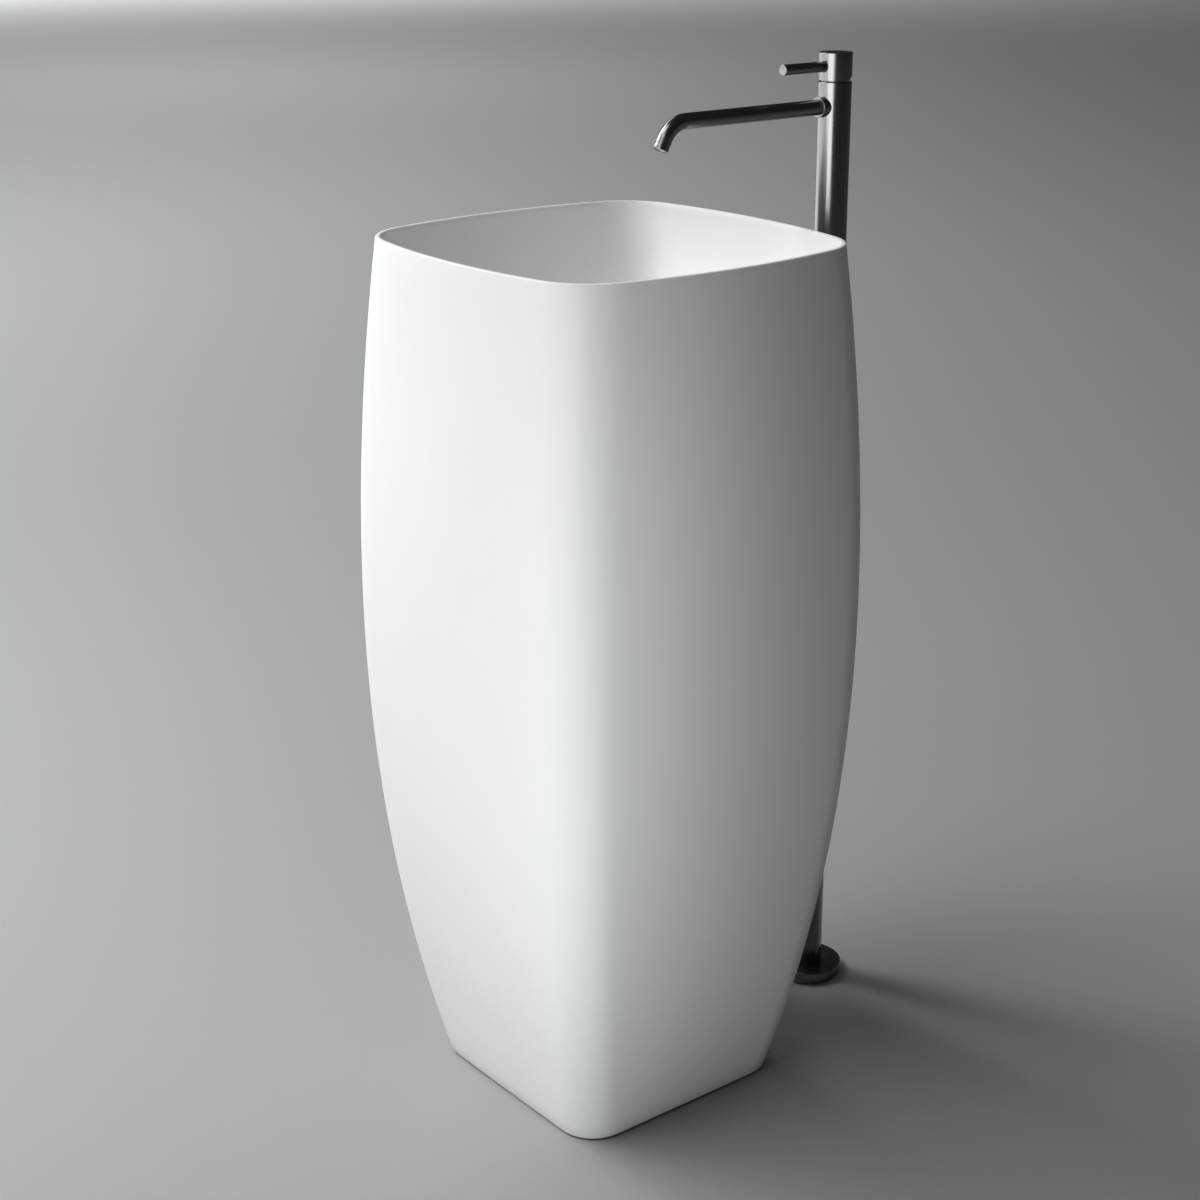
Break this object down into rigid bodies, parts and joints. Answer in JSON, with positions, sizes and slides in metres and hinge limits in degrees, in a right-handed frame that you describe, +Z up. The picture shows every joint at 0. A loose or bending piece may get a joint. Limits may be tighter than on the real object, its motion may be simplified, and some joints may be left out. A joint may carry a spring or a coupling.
{
  "type": "pedestal sink",
  "caption": "Freestanding barrel-shaped basin on its own pedestal, with an open waste and trap inside and a floor-standing single-lever tap reaching over the bowl.",
  "frame": {"origin": "the basin's vertical axis at floor level, which is the lower end of the drain pipe", "axes": "+Z up, -Y towards the user, +Y towards the tap's column, +X to the right seen from the tap's side"},
  "size_m": [0.4154, 0.5477, 1.06],
  "materials": {
    "basin": "matte white",
    "screw_cap": "matte white",
    "gunmetal": "dark brushed, satin",
    "rubber": "matte",
    "zinc_steel": "zinc plated",
    "polished_waste": "polished",
    "brass": "machined",
    "trap_plastic": "moulded white",
    "cartridge_plastic": "moulded ivory",
    "braided_hose": "braided"
  },
  "bodies": {
    "root": {"pedestal_shell": "basin", "bowl": "basin", "floor_gasket": "rubber", "bracket_left": "zinc_steel", "bracket_right": "zinc_steel", "wall_screws": "zinc_steel", "screw_caps": "screw_cap", "waste_body": "polished_waste", "flange_gasket": "rubber", "lower_gasket": "rubber", "waste_washer": "trap_plastic", "waste_locknut": "brass", "click_cartridge": "cartridge_plastic", "plug_spring": "zinc_steel", "trap_inlet_nut": "trap_plastic", "trap_inlet_seal": "rubber", "trap_cover": "trap_plastic", "trap_cover_seal": "rubber", "trap_chamber": "trap_plastic", "trap_cup": "trap_plastic", "trap_outlet_nut": "trap_plastic", "trap_outlet_seal": "rubber", "drain_pipe": "trap_plastic", "tap_base_plate": "zinc_steel", "column_grub_screws": "zinc_steel", "floor_flange": "gunmetal", "flange_ring": "rubber", "column_tube": "gunmetal", "hot_hose": "braided_hose", "cold_hose": "braided_hose", "hose_nuts": "brass", "valve_body": "brass", "cartridge_seal": "rubber", "cartridge_body": "cartridge_plastic", "cartridge_nut": "brass", "spout_collar": "gunmetal", "spout_nipple": "brass", "spout_o_rings": "rubber", "spout_tube": "gunmetal", "aerator_housing": "gunmetal", "aerator_seal": "rubber", "aerator_insert": "cartridge_plastic"},
    "swivel": {"dome_cover": "gunmetal", "stem_carrier": "cartridge_plastic", "stem_pin": "zinc_steel"},
    "handle": {"handle_cap": "gunmetal", "cartridge_stem": "brass", "handle_grub_screw": "zinc_steel", "lever_rod": "gunmetal"},
    "plug": {"plug_cap": "polished_waste", "plug_seal": "rubber", "plug_stem": "polished_waste"}
  },
  "joints": [
    {"name": "lever_turn", "type": "hinge", "parent": "root", "child": "swivel", "pos_m": [0, 0.3, 1.033], "axis": [0, 0, 1], "range_deg": [-45, 45]},
    {"name": "lever_lift", "type": "hinge", "parent": "swivel", "child": "handle", "pos_m": [0, 0.3, 1.033], "axis": [-1, 0, 0], "range_deg": [0, 20]},
    {"name": "plug_press", "type": "slide", "parent": "root", "child": "plug", "axis": [0, 0, 1], "range_m": [-0.009, 0], "stiffness_N_per_m": 400, "springref_m": 0.01, "deforming": ["plug_spring"]}
  ]
}
